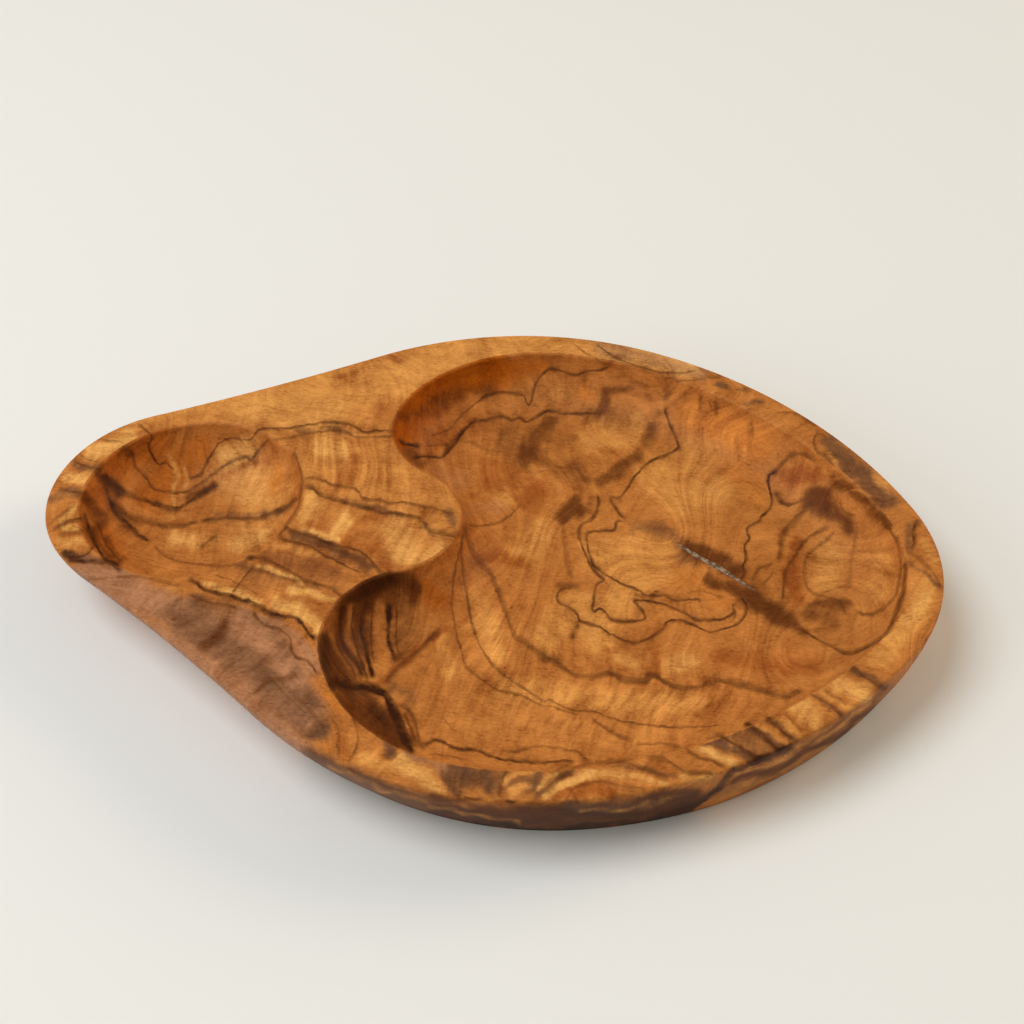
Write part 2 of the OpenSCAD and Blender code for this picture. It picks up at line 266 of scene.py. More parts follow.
# Soft patches and bands: (tone, opacity, radius, course), laid in this order
TOP_PATCHES = [
    # Land
    ("honey", 0.4, 52, [(300, 455), (370, 465), (430, 505)]),
    ("honey", 0.95, 26, [(150, 412), (330, 392), (480, 348), (560, 345), (640, 358)]),
    ("straw", 0.3, 20, [(260, 410), (330, 415)]),
    ("amber", 0.6, 18, [(150, 428), (190, 424), (215, 428)]),
    ("straw", 0.55, 18, [(396, 532), (402, 552)]),
    ("straw", 0.6, 10, [(440, 552), (425, 562)]),
    ("straw", 0.5, 13, [(312, 503), (304, 515)]),
    ("straw", 0.5, 14, [(322, 448), (345, 452)]),
    ("straw", 0.6, 9, [(345, 520), (332, 532)]),
    ("rust", 0.35, 10, [(340, 380), (375, 368), (400, 356)]),
    ("rust", 0.35, 9, [(388, 398), (378, 420)]),
    ("rust", 0.45, 11, [(358, 445), (351, 466), (342, 482)]),
    ("dusk", 0.45, 4, [(300, 432), (330, 427), (356, 432)]),
    ("dusk", 0.5, 5, [(344, 502), (372, 508), (404, 516)]),
    ("dusk", 0.6, 6, [(446, 514), (452, 518)]),
    ("dusk", 0.6, 6, [(427, 528), (430, 534)]),
    ("rust", 0.45, 9, [(312, 522), (322, 525)]),
    ("rust", 0.45, 7, [(345, 541), (358, 527), (373, 519)]),
    ("rust", 0.6, 9, [(352, 544), (370, 547)]),
    ("dusk", 0.75, 7, [(298, 538), (325, 546), (368, 568)]),
    ("rust", 0.55, 9, [(384, 566), (404, 570)]),
    ("rust", 0.5, 17, [(260, 556), (300, 560), (335, 574)]),
    ("dusk", 0.35, 15, [(270, 556), (305, 562), (338, 578)]),
    ("honey", 0.5, 4, [(276, 543), (300, 550), (318, 558)]),
    ("straw", 0.6, 4, [(306, 531), (322, 535), (338, 540)]),
    ("dusk", 0.3, 9, [(245, 578), (270, 585), (292, 590)]),
    ("dusk", 0.45, 5, [(236, 566), (262, 572), (320, 588)]),
    ("straw", 0.6, 3.5, [(257, 566), (281, 573), (300, 584)]),
    ("straw", 0.8, 4.5, [(205, 583), (235, 590), (260, 600)]),
    ("straw", 0.8, 5, [(290, 592), (312, 595), (332, 601)]),
    ("straw", 0.85, 7, [(276, 604), (296, 608), (312, 616), (318, 628)]),
    ("mauve", 0.7, 8, [(264, 620), (290, 632), (304, 648), (314, 668)]),
    # Nose
    ("straw", 0.8, 10, [(92, 454), (112, 447), (128, 436)]),
    ("dusk", 0.6, 4, [(72, 462), (90, 468), (106, 470)]),
    ("straw", 0.75, 8, [(66, 476), (90, 479)]),
    ("dusk", 0.7, 7, [(52, 500), (66, 494), (86, 494)]),
    ("straw", 0.7, 5, [(62, 519), (78, 508)]),
    ("straw", 0.7, 4, [(64, 527), (80, 525)]),
    ("straw", 0.45, 9, [(66, 545), (84, 541)]),
    ("rust", 0.4, 4, [(58, 535), (86, 531)]),
    ("soot", 0.8, 5, [(66, 557), (84, 560)]),
    ("dusk", 0.7, 7, [(84, 570), (118, 572)]),
    # Heartwood on the near flank
    ("mauve", 0.95, 16, [(88, 572), (120, 586), (175, 614)]),
    ("mauve", 0.97, 28, [(195, 628), (230, 650), (302, 710)]),
    ("dusk", 0.62, 24, [(190, 622), (230, 648), (270, 680), (305, 715)]),
    ("mauve", 0.8, 14, [(240, 616), (272, 640), (296, 672)]),
    ("dusk", 0.4, 9, [(196, 602), (235, 609), (256, 622), (280, 642), (296, 668)]),
    ("umber", 0.6, 8, [(199, 652), (210, 640), (223, 626)]),
    ("dusk", 0.4, 6, [(165, 612), (178, 598)]),
    ("umber", 0.35, 6, [(256, 668), (272, 655), (284, 646)]),
    ("umber", 0.55, 3.5, [(246, 697), (280, 681), (294, 673)]),
    ("dusk", 0.9, 8, [(314, 734), (321, 728)]),
    ("dusk", 0.4, 7, [(306, 690), (312, 700)]),
    ("orange", 0.6, 8, [(330, 695), (336, 712)]),
    ("rust", 0.5, 8, [(340, 735), (346, 752)]),
    # Near rim
    ("honey", 0.9, 10, [(362, 758), (388, 768)]),
    ("straw", 0.7, 10, [(402, 760), (420, 774), (438, 788)]),
    ("mauve", 0.7, 7, [(410, 752), (432, 760), (454, 772)]),
    ("dusk", 0.8, 6, [(384, 745), (392, 751)]),
    ("dusk", 0.7, 14, [(462, 776), (500, 782), (530, 784)]),
    ("dusk", 0.7, 5, [(444, 772), (450, 782), (456, 792)]),
    ("dusk", 0.85, 5, [(456, 766), (466, 774)]),
    ("dusk", 0.75, 4, [(474, 764), (490, 764)]),
    ("dusk", 0.8, 5, [(482, 776), (489, 786)]),
    ("dusk", 0.75, 4.5, [(496, 768), (508, 768)]),
    ("honey", 0.7, 3.5, [(507, 784), (516, 773), (532, 771)]),
    ("honey", 0.6, 3.5, [(510, 797), (522, 788), (534, 784)]),
    ("dusk", 0.75, 5, [(541, 768), (531, 784)]),
    ("straw", 0.7, 3, [(537, 789), (547, 777), (560, 769)]),
    ("dusk", 0.8, 5, [(539, 798), (563, 776), (582, 766)]),
    ("straw", 0.75, 3.5, [(547, 800), (557, 789), (573, 779), (592, 773)]),
    ("rust", 0.7, 4, [(556, 798), (566, 789), (582, 782)]),
    ("straw", 0.45, 5, [(590, 776), (620, 776), (646, 779), (668, 786)]),
    ("rust", 0.75, 6, [(574, 795), (590, 787), (612, 791)]),
    ("dusk", 0.55, 4, [(582, 764), (630, 766), (676, 775)]),
    ("rust", 0.5, 5, [(648, 762), (676, 770)]),
    ("straw", 0.6, 5, [(684, 775), (708, 777)]),
    ("straw", 0.75, 6, [(704, 750), (720, 757), (736, 765)]),
    ("dusk", 0.6, 7, [(724, 732), (750, 741), (770, 754)]),
    ("dusk", 0.9, 7, [(710, 740), (732, 746), (752, 755)]),
    ("dusk", 0.9, 5, [(744, 727), (757, 733), (780, 751)]),
    ("honey", 0.6, 4, [(752, 721), (770, 732), (788, 746)]),
    ("dusk", 0.6, 4, [(764, 716), (776, 724), (796, 743)]),
    ("honey", 0.7, 5, [(776, 716), (792, 730), (800, 738)]),
    ("straw", 0.55, 11, [(794, 703), (816, 720)]),
    ("dusk", 0.6, 4, [(808, 694), (824, 702), (842, 716)]),
    ("honey", 0.7, 3.5, [(816, 688), (834, 699), (850, 710)]),
    ("straw", 0.55, 12, [(836, 680), (864, 694)]),
    ("dusk", 0.7, 4, [(850, 668), (867, 679), (884, 687)]),
    ("honey", 0.9, 14, [(880, 655), (914, 614), (926, 590)]),
    ("straw", 0.5, 9, [(905, 620), (925, 600)]),
    ("dusk", 0.78, 13, [(830, 446), (856, 470), (888, 498)]),
    ("honey", 0.5, 6, [(874, 476), (886, 485)]),
    ("honey", 0.4, 4, [(826, 456), (836, 464)]),
    ("dusk", 0.6, 6, [(909, 528), (908, 550)]),
    ("dusk", 0.55, 4, [(908, 558), (924, 572), (940, 588)]),
    ("honey", 0.7, 6, [(926, 545), (932, 560)]),
    ("straw", 0.75, 14, [(610, 350), (690, 367)]),
    ("mauve", 0.5, 11, [(600, 350), (650, 357), (700, 372)]),
    ("dusk", 0.8, 4, [(719, 385), (725, 385)]),
    ("dusk", 0.5, 4, [(736, 388), (748, 390)]),
    ("dusk", 0.7, 4, [(744, 405), (754, 400), (764, 402)]),
    # Side wall: its darker bands are brown wood with its shade painted in, darker below the upper edge and towards
    # the foot
    ("mauve", 0.95, 13, [(72, 578), (200, 672), (300, 752)]),
    ("dusk", 0.92, 13, [(312, 762), (370, 790), (420, 807), (470, 818)]),
    ("umber", 0.88, 13, [(440, 806), (490, 813), (547, 815), (600, 812), (650, 806), (690, 797)]),
    ("amber", 0.4, 3, [(396, 791), (430, 802), (470, 808)]),
    ("dusk", 0.7, 7, [(566, 807), (600, 809), (626, 806)]),
    ("soot", 0.45, 12, [(440, 812), (520, 818), (600, 816), (690, 800)]),
    ("soot", 0.75, 5, [(480, 825), (540, 830), (600, 828), (650, 820), (690, 808)]),
    ("dusk", 0.5, 12, [(730, 788), (820, 745), (890, 690)]),
    ("honey", 0.5, 2.5, [(738, 776), (790, 754), (836, 727), (872, 700)]),
    ("umber", 0.7, 3, [(734, 783), (790, 761), (838, 735), (876, 706)]),
    ("honey", 0.45, 2.5, [(726, 795), (786, 770), (836, 743)]),
    ("honey", 0.35, 2.5, [(330, 768), (390, 793), (450, 812), (520, 821)]),
    ("honey", 0.25, 3, [(580, 812), (640, 806), (690, 794)]),
]
WELL_PATCHES = [
    # Pit well
    # Deep orange patches on the pit's walls: painted shade of the walls that face away from the light
    ("shaded_wall_russet", 0.6, 20, [(100, 505), (110, 475), (130, 455), (158, 445)]),
    ("shaded_wall_russet", 0.55, 18, [(150, 495), (180, 470), (200, 450)]),
    ("shaded_wall_russet", 0.7, 14, [(100, 535), (125, 552)]),
    ("amber", 0.7, 20, [(140, 545), (175, 568)]),
    ("honey", 0.95, 27, [(240, 478), (262, 495)]),
    ("straw", 0.3, 20, [(244, 470), (252, 488)]),
    ("straw", 0.6, 14, [(246, 446), (232, 456)]),
    ("honey", 0.6, 13, [(190, 540), (215, 540), (262, 532)]),
    ("straw", 0.6, 10, [(176, 539), (190, 542)]),
    ("straw", 0.5, 9, [(235, 545), (262, 536)]),
    ("soot", 0.7, 7, [(101, 472), (110, 482), (118, 491)]),
    # Dark patches just inside the pit's left rim: painted shade of its wall
    ("umber", 0.7, 7, [(88, 500), (94, 512), (100, 522)]),
    ("umber", 0.6, 5, [(92, 530), (103, 548), (116, 564)]),
    ("umber", 0.6, 5, [(108, 536), (114, 548), (124, 558)]),
    ("umber", 0.5, 5, [(124, 444), (130, 454)]),
    ("umber", 0.6, 5, [(190, 499), (204, 491), (217, 484)]),
    ("rust", 0.5, 5, [(170, 522), (185, 522)]),
    ("dusk", 0.4, 5, [(210, 518), (240, 518), (270, 514), (290, 503)]),
    ("rust", 0.5, 4, [(215, 480), (235, 472), (256, 464)]),
    ("rust", 0.5, 5, [(262, 442), (275, 446), (278, 455)]),
    # Painted shade along the pit's right rim
    ("rust", 0.4, 5, [(294, 455), (299, 480), (292, 502)]),
    ("orange", 0.5, 6, [(278, 470), (276, 490)]),
    # Light streaks down the pit: painted highlights where the curly grain catches the light
    ("straw", 0.4, 3, [(171, 452), (175, 478), (171, 500), (175, 518)]),
    ("straw", 0.35, 3, [(181, 462), (185, 484), (182, 496)]),
    ("umber", 0.25, 9, [(106, 488), (118, 512), (128, 530)]),
    # Olive well: floor
    ("honey", 0.25, 30, [(470, 712), (560, 730), (640, 733)]),
    ("honey", 0.7, 14, [(478, 600), (496, 650)]),
    ("honey", 0.7, 10, [(440, 640), (450, 668)]),
    ("honey", 0.65, 13, [(505, 688), (560, 692), (620, 702), (700, 704)]),
    ("honey", 0.8, 18, [(545, 640), (580, 605), (600, 640)]),
    ("honey", 0.75, 24, [(606, 556), (656, 560), (620, 600)]),
    ("honey", 0.9, 22, [(680, 495), (712, 490)]),
    ("orange", 0.5, 18, [(740, 470), (756, 492)]),
    ("orange", 0.4, 16, [(690, 580), (720, 600)]),
    ("honey", 0.6, 20, [(650, 480), (690, 455)]),
    ("orange", 0.7, 20, [(690, 415), (730, 432), (756, 445)]),
    ("honey", 0.75, 17, [(592, 440), (634, 426)]),
    ("honey", 0.6, 12, [(500, 495), (530, 478)]),
    ("honey", 0.6, 16, [(525, 555), (540, 530)]),
    ("mauve", 0.35, 14, [(440, 470), (458, 482)]),
    ("mauve", 0.35, 9, [(470, 512), (500, 508)]),
    ("rust", 0.4, 5, [(465, 503), (480, 492), (490, 480)]),
    ("rust", 0.4, 5, [(548, 478), (532, 494), (520, 504)]),
    ("rust", 0.7, 10, [(482, 558), (500, 558), (520, 562)]),
    ("rust", 0.45, 9, [(490, 540), (474, 534)]),
    ("rust", 0.3, 9, [(510, 600), (530, 610)]),
    ("straw", 0.4, 8, [(622, 656), (636, 664)]),
    ("straw", 0.45, 8, [(668, 664), (692, 662)]),
    ("rust", 0.45, 7, [(606, 650), (609, 668)]),
    ("rust", 0.6, 7, [(654, 652), (654, 672)]),
    ("rust", 0.6, 14, [(720, 660), (770, 664), (810, 664)]),
    ("umber", 0.5, 5, [(648, 676), (660, 678)]),
    ("umber", 0.45, 5, [(540, 655), (556, 661)]),
    # Olive well: far side
    # Deep orange bands on the far-left wall of the olive well: painted shade
    ("shaded_wall_russet", 0.9, 22, [(406, 430), (420, 405), (450, 384), (490, 370)]),
    ("shaded_wall_russet", 0.6, 14, [(500, 372), (540, 366)]),
    ("rust", 0.5, 10, [(430, 448), (440, 440)]),
    # Umber band under the far rim: painted shade, darkest near the top of the wall
    ("umber", 0.5, 10, [(406, 418), (426, 410), (455, 396), (490, 386)]),
    ("orange", 0.6, 10, [(580, 392), (592, 398)]),
    ("honey", 0.45, 10, [(552, 392), (564, 390)]),
    ("umber", 0.6, 8, [(410, 452), (420, 463)]),
    ("umber", 0.55, 6, [(450, 449), (460, 438)]),
    ("umber", 0.4, 12, [(505, 436), (525, 440)]),
    ("umber", 0.55, 8, [(549, 420), (540, 432), (526, 446)]),
    ("umber", 0.55, 7, [(526, 456), (518, 470)]),
    ("umber", 0.35, 8, [(576, 462), (584, 476)]),
    ("rust", 0.5, 6, [(574, 486), (582, 494)]),
    ("umber", 0.85, 9, [(562, 515), (572, 506), (580, 510)]),
    ("umber", 0.4, 5, [(592, 500), (592, 514)]),
    ("umber", 0.7, 5, [(607, 391), (605, 402), (602, 414)]),
    ("umber", 0.4, 8, [(590, 417), (606, 418)]),
    ("umber", 0.5, 5, [(613, 388), (630, 384), (645, 390), (654, 402), (658, 412)]),
    ("umber", 0.5, 6, [(652, 428), (648, 441)]),
    ("umber", 0.65, 6, [(638, 451), (627, 466), (600, 482)]),
    ("rust", 0.4, 4, [(648, 384), (650, 398)]),
    ("rust", 0.5, 5, [(605, 366), (614, 366)]),
    ("umber", 0.36, 20, [(490, 432), (530, 444), (564, 436)]),
    ("umber", 0.35, 14, [(520, 466), (556, 468), (582, 484)]),
    ("rust", 0.5, 16, [(440, 432), (470, 424)]),
    ("rust", 0.6, 18, [(492, 472), (536, 496)]),
    # Olive well: stains and tip
    ("dusk", 0.5, 10, [(640, 528), (660, 530), (678, 542), (688, 556)]),
    ("umber", 0.85, 10, [(692, 550), (715, 560), (737, 572)]),
    ("umber", 0.8, 6, [(706, 576), (722, 584), (742, 590)]),
    ("umber", 0.92, 14, [(748, 596), (766, 606), (784, 619)]),
    ("umber", 0.7, 7, [(796, 626), (806, 632)]),
    ("rust", 0.7, 14, [(792, 478), (806, 474)]),
    # Painted shade on the far right wall of the tip
    ("umber", 0.7, 10, [(838, 480), (872, 510), (884, 521)]),
    ("rust", 0.3, 12, [(840, 512), (858, 520)]),
    # Dark figure of the wood with painted shade of the wall under the rim
    ("umber", 0.85, 9, [(806, 501), (826, 494)]),
    ("umber", 0.7, 9, [(814, 500), (832, 511), (846, 524)]),
    ("umber", 0.7, 8, [(816, 512), (824, 506)]),
    ("honey", 0.8, 18, [(830, 556), (826, 580)]),
    ("honey", 0.5, 14, [(880, 560), (878, 590)]),
    ("rust", 0.6, 6, [(780, 535), (779, 558)]),
    ("rust", 0.8, 9, [(799, 545), (792, 570), (796, 596)]),
    ("umber", 0.6, 9, [(808, 612), (842, 606)]),
    ("umber", 0.4, 8, [(830, 622), (822, 630)]),
    ("rust", 0.4, 6, [(850, 620), (850, 640)]),
    ("umber", 0.5, 4, [(572, 636), (580, 624)]),
    ("umber", 0.45, 6, [(563, 585), (572, 586)]),
    ("dusk", 0.4, 4, [(617, 593)]),
    ("rust", 0.5, 5, [(656, 632), (664, 624)]),
    # Near lobe
    # Deep orange and dark umber: painted shade on the near lobe's walls
    ("shaded_wall_russet", 0.6, 14, [(422, 588), (440, 602)]),
    ("umber", 0.92, 27, [(338, 656), (350, 628), (366, 606)]),
    ("soot", 0.6, 8, [(321, 636), (322, 655), (332, 680)]),
    ("umber", 0.9, 12, [(350, 596), (374, 586), (402, 582), (414, 592)]),
    ("soot", 0.5, 8, [(352, 598), (376, 586), (394, 582)]),
    ("umber", 0.58, 16, [(402, 602), (408, 626), (402, 648)]),
    ("amber", 0.5, 4, [(330, 634), (338, 650), (352, 668)]),
    ("amber", 0.6, 5, [(351, 608), (350, 634), (363, 668)]),
    ("amber", 0.9, 7, [(381, 606), (378, 632), (380, 655), (377, 680)]),
    ("umber", 0.9, 19, [(350, 704), (370, 714), (390, 738)]),
    ("soot", 0.35, 8, [(376, 706), (390, 730)]),
    ("soot", 0.5, 7, [(334, 684), (356, 689), (378, 691)]),
    ("rust", 0.7, 5, [(384, 684), (398, 668), (444, 627)]),
    ("dusk", 0.5, 7, [(394, 690), (410, 700)]),
    ("rust", 0.6, 8, [(402, 714), (412, 734)]),
    ("honey", 0.5, 3, [(404, 716), (409, 738)]),
]

# Courses that steer the grain where no vein does
GUIDES = [
    [(150, 412), (250, 385), (350, 362), (450, 338), (560, 335)],
    [(210, 425), (300, 405), (390, 385), (430, 365)],
    [(455, 512), (480, 497), (505, 480), (525, 462), (548, 440)],
    [(475, 548), (510, 522), (545, 490), (572, 462)],
    [(500, 560), (522, 600), (548, 630), (590, 650), (640, 656), (700, 656), (760, 655)],
    [(430, 640), (440, 680), (465, 706), (510, 722), (560, 732), (620, 746)],
    [(640, 485), (700, 470), (765, 452)],
    [(640, 545), (690, 522), (745, 508)],
    [(690, 440), (740, 430), (790, 440)],
    [(200, 468), (240, 478), (285, 465)],
    [(225, 545), (262, 537), (292, 515)],
    [(100, 585), (150, 610), (200, 645), (250, 690), (300, 735)],
    [(180, 600), (240, 630), (290, 680), (322, 720)],
    [(905, 640), (930, 590), (930, 540)],
    [(330, 770), (420, 812), (520, 827), (620, 823), (720, 796), (820, 746)],
    [(700, 380), (760, 400), (800, 425)],
]

# Strength of the curl across the grain: (strength, radius, course)
CURL_GROUND = 0.55
CURLS = [
    (0.35, 34, [(80, 575), (150, 612), (230, 650), (310, 720)]),
    (0.2, 18, [(330, 650), (345, 615), (380, 600)]),
    (0.2, 20, [(330, 770), (420, 805), (520, 820), (620, 818), (720, 790), (820, 740), (890, 690)]),
    (0.95, 22, [(640, 385), (700, 405), (750, 430)]),
    (0.95, 16, [(540, 378), (600, 380)]),
    (1.0, 40, [(480, 620), (520, 680), (600, 700), (720, 700)]),
    # Strong curl in the pit, which paints its light-catching streaks as colour
    (0.9, 20, [(150, 450), (200, 450)]),
    (0.8, 40, [(320, 460), (380, 480), (430, 505)]),
    (0.4, 26, [(150, 412), (340, 388), (500, 345), (580, 346)]),
]

# Mesh spacing, in mm
STEP = 0.8
BASE_STEP = 1.7


def way(deg):
    return np.array([math.cos(math.radians(deg)), math.sin(math.radians(deg))])


def heading(a, b):
    return math.degrees(math.atan2(b[1] - a[1], b[0] - a[0]))


def meet(c0, r0, c1, r1):
    """Crossing of two circles, on the left of the line between their centres."""
    d = np.linalg.norm(c1 - c0)
    u = (c1 - c0) / d
    a = (r0 * r0 - r1 * r1 + d * d) / (2 * d)
    return c0 + a * u + math.sqrt(r0 * r0 - a * a) * np.array([-u[1], u[0]])


def closing_r(start, out, c, r):
    """Radius of an arc that starts at a point and closes smoothly on a circle."""
    q = start - c
    return (q @ q - r * r) / (2 * (q @ out - r))


nose_r = PIT_D / 2 + 0.6 * NOSE_RIM
nose_c = np.array([nose_r - DISH_L / 2, 0.0])
pit_c = np.array([NOSE_RIM + PIT_D / 2 - DISH_L / 2, 0.0])
point_x = pit_c[0] + PIT_D / 2 + LAND_L
belly_c = np.array([point_x + BELLY_ON, DISH_W / 2 - BELLY_R])
tip_c = np.array([DISH_L / 2 - TIP_R, 0.0])
flank_c = meet(nose_c, nose_r + FLANK_R, belly_c, BELLY_R + FLANK_R)
shoulder_r = closing_r(belly_c + BELLY_R * way(BELLY_END), way(BELLY_END), tip_c, TIP_R)
shoulder_c = belly_c + (BELLY_R - shoulder_r) * way(BELLY_END)
well_belly_r = BELLY_R - RIM_W
point_c = np.array([point_x - POINT_R, 0.0])
lobe_x = point_x - LOBE_BACK + LOBE_R
lobe_c = np.array([lobe_x, math.sqrt((POINT_R + LOBE_R) ** 2 - (lobe_x - point_c[0]) ** 2)])
back_r = closing_r(belly_c + well_belly_r * way(BACK_END), way(BACK_END), lobe_c, LOBE_R)
back_c = belly_c + (well_belly_r - back_r) * way(BACK_END)


def chain(arcs):
    """Closed ring, mirrored about the middle line, from arcs of (centre, radius, start, end, out)."""
    rows = []
    for c, r, a0, a1, out in arcs:
        n = max(8, int(abs(math.radians(a1 - a0)) * r / 0.1))
        a = np.radians(np.linspace(a0, a1, n))
        rows.append(np.c_[c[0] + r * np.cos(a), c[1] + r * np.sin(a), out * np.cos(a), out * np.sin(a)])
    half = np.vstack(rows)
    run = np.r_[0, np.cumsum(np.hypot(*np.diff(half[:, :2], axis=0).T))]
    n = int(round(run[-1] / STEP))
    even = np.linspace(0, run[-1], n + 1)
    half = np.c_[[np.interp(even, run, half[:, k]) for k in range(4)]].T
    half[:, 2:] /= np.hypot(half[:, 2], half[:, 3])[:, None]
    return np.vstack([half, half[-2:0:-1] * [1, -1, 1, -1]])


outline = chain([
    (nose_c, nose_r, 180, heading(nose_c, flank_c), 1),
    (flank_c, FLANK_R, heading(nose_c, flank_c) - 180, heading(belly_c, flank_c) - 180, -1),
    (belly_c, BELLY_R, heading(belly_c, flank_c), BELLY_END, 1),
    (shoulder_c, shoulder_r, BELLY_END, heading(shoulder_c, tip_c), 1),
    (tip_c, TIP_R, heading(shoulder_c, tip_c), 0, 1),
])
well_rim = chain([
    (point_c, POINT_R, 0, heading(point_c, lobe_c), -1),
    (lobe_c, LOBE_R, heading(lobe_c, point_c) + 360, heading(back_c, lobe_c), 1),
    (back_c, back_r, heading(back_c, lobe_c), BACK_END, 1),
    (belly_c, well_belly_r, BACK_END, BELLY_END, 1),
    (shoulder_c, shoulder_r - RIM_W, BELLY_END, heading(shoulder_c, tip_c), 1),
    (tip_c, TIP_R - RIM_W, heading(shoulder_c, tip_c), 0, 1),
])
pit_rim = chain([(pit_c, PIT_D / 2, 180, 0, 1)])


# The camera's axes, and the pixel at which a point of the dish shows in the photograph
cam_forward = np.array([
    math.sin(CAM_AZIMUTH) * math.cos(CAM_ELEVATION),
    math.cos(CAM_AZIMUTH) * math.cos(CAM_ELEVATION),
    -math.sin(CAM_ELEVATION),
])
level_right = np.cross(cam_forward, [0, 0, 1.0])
level_right /= np.linalg.norm(level_right)
level_up = np.cross(level_right, cam_forward)
cam_right = math.cos(CAM_ROLL) * level_right + math.sin(CAM_ROLL) * level_up
cam_up = math.cos(CAM_ROLL) * level_up - math.sin(CAM_ROLL) * level_right


def to_pixel(points):
    q = points - CAM_AT
    scale = CAM_FOCAL / (q @ cam_forward)
    return np.c_[IMAGE / 2 + scale * (q @ cam_right), IMAGE / 2 - scale * (q @ cam_up)]


class Body:
    """Vertices and faces of the carving, gathered ring by ring."""

    def __init__(self):
        self.points = np.zeros((0, 3))
        self.faces = []

    def add(self, points):
        first = len(self.points)
        self.points = np.vstack([self.points, points])
        return np.arange(first, len(self.points))

    def ring(self, loop, draw, z):
        at = loop[:, :2] - loop[:, 2:] * np.reshape(draw, (-1, 1))
        return self.add(np.c_[at, np.full(len(loop), z)])

    def skin(self, lower, upper):
        """Quads between two rings of the same count."""
        nxt = np.roll(lower, -1), np.roll(upper, -1)
        self.faces += np.c_[lower, nxt[0], nxt[1], upper].tolist()

    def sheet(self, rings, step, inside, z, facing):
        """Flat sheet between rings, filled with a triangular lattice."""
        edge = np.concatenate(rings)
        plan = self.points[edge, :2]
        lo, hi = plan.min(0), plan.max(0)
        rows = np.arange(lo[1], hi[1], step * math.sqrt(0.75))
        cells = [np.c_[np.arange(lo[0] + (k % 2) * step / 2, hi[0], step), np.zeros(1)[0] * 0 +
                 np.full(len(np.arange(lo[0] + (k % 2) * step / 2, hi[0], step)), y)]
                 for k, y in enumerate(rows)]
        grid = np.vstack(cells)
        grid = grid[inside(grid)]
        keep = np.ones(len(grid), bool)
        for i in range(0, len(grid), 2000):
            part = grid[i:i + 2000]
            far = ((part[:, None] - plan[None]) ** 2).sum(2).min(1)
            keep[i:i + 2000] = far > (0.62 * step) ** 2
        grid = grid[keep]
        fill = self.add(np.c_[grid, np.full(len(grid), z)])
        index = np.concatenate([edge, fill])
        bonds, first = [], 0
        for r in rings:
            n = len(r)
            bonds += [(first + i, first + (i + 1) % n) for i in range(n)]
            first += n
        flat = [tuple(p) for p in self.points[index, :2]]
        _, _, tris, origin, _, _ = delaunay_2d_cdt(flat, bonds, [], 0, 1e-6)
        tris = np.array([[origin[v][0] for v in t] for t in tris])
        middle = self.points[index[tris], :2].mean(1)
        tris = index[tris[inside(middle)]]
        p = self.points[tris, :2]
        turn = np.cross(p[:, 1] - p[:, 0], p[:, 2] - p[:, 0])
        tris[turn * facing < 0] = tris[turn * facing < 0][:, ::-1]
        self.faces += tris.tolist()


def within(loop):
    """Test for points inside a closed polygon."""
    a, b = loop[:, :2], np.roll(loop[:, :2], -1, 0)

    def test(p):
        result = np.zeros(len(p), bool)
        for i in range(0, len(p), 4000):
            q = p[i:i + 4000, None]
            span = (a[None, :, 1] > q[:, :, 1]) != (b[None, :, 1] > q[:, :, 1])
            with np.errstate(divide="ignore", invalid="ignore"):
                x = a[:, 0] + (q[:, :, 1] - a[:, 1]) * (b[:, 0] - a[:, 0]) / (b[:, 1] - a[:, 1])
            result[i:i + 4000] = (span & (q[:, :, 0] < x)).sum(1) % 2 == 1
        return result
    return test


def under_at(x):
    share = np.clip((x - pit_c[0]) / (tip_c[0] - pit_c[0]), 0, 1)
    return UNDER_NOSE + (UNDER_TIP - UNDER_NOSE) * share


def tuck(z):
    return (1 - z / DISH_H) ** 1.5


def hollow(floor, radius):
    """Profile of a well as (draw-in, height), from the land over the rounded rim to the floor."""
    rise = min(DISH_H - floor - RIM_EASE - RIM_UP, 0.985 * radius)
    turn = math.acos(1 - rise / radius)
    run = radius * math.sin(turn)
    rows = [(-RIM_ROUND + RIM_ROUND * math.sin(t), DISH_H - RIM_ROUND + RIM_ROUND * math.cos(t))
            for t in np.radians([0, 22, 44, 64])]
    count = int(radius * turn / STEP)
    return rows + [(run - radius * math.sin(a), floor + radius * (1 - math.cos(a)))
                   for a in np.linspace(turn, 0, count)]


body = Body()

# Side wall, from the rounded foot to the rounded upper edge
under = under_at(outline[:, 0])
wall_rows = [(under * tuck(FOOT_ROUND) + FOOT_ROUND * (1 - math.sin(t)), FOOT_ROUND * (1 - math.cos(t)))
             for t in np.radians([0, 30, 60])]
wall_rows += [(under * tuck(z), z) for z in np.linspace(FOOT_ROUND, DISH_H - EDGE_ROUND, 22)]
wall_rows += [(EDGE_ROUND * (1 - math.cos(t)), DISH_H - EDGE_ROUND * (1 - math.sin(t)))
              for t in np.radians([25, 50, 70, 90])]
rings = [body.ring(outline, draw, z) for draw, z in wall_rows]
for a, b in zip(rings, rings[1:]):
    body.skin(b, a)
foot_ring, edge_ring = rings[0], rings[-1]

# Wells
well_rings = [body.ring(well_rim, draw, z) for draw, z in hollow(WELL_FLOOR, WALL_R)]
pit_rings = [body.ring(pit_rim, draw, z) for draw, z in hollow(PIT_FLOOR, PIT_WALL_R)]
for stack in (well_rings, pit_rings):
    for a, b in zip(stack, stack[1:]):
        body.skin(b, a)

# Land, floors and underside
in_edge = within(body.points[edge_ring])
in_well = within(body.points[well_rings[0]])
in_pit = within(body.points[pit_rings[0]])
body.sheet([edge_ring, well_rings[0], pit_rings[0]], STEP,
           lambda p: in_edge(p) & ~in_well(p) & ~in_pit(p), DISH_H, 1)
body.sheet([pit_rings[-1]], STEP, within(body.points[pit_rings[-1]]), PIT_FLOOR, 1)
body.sheet([foot_ring], BASE_STEP, within(body.points[foot_ring]), 0.0, -1)

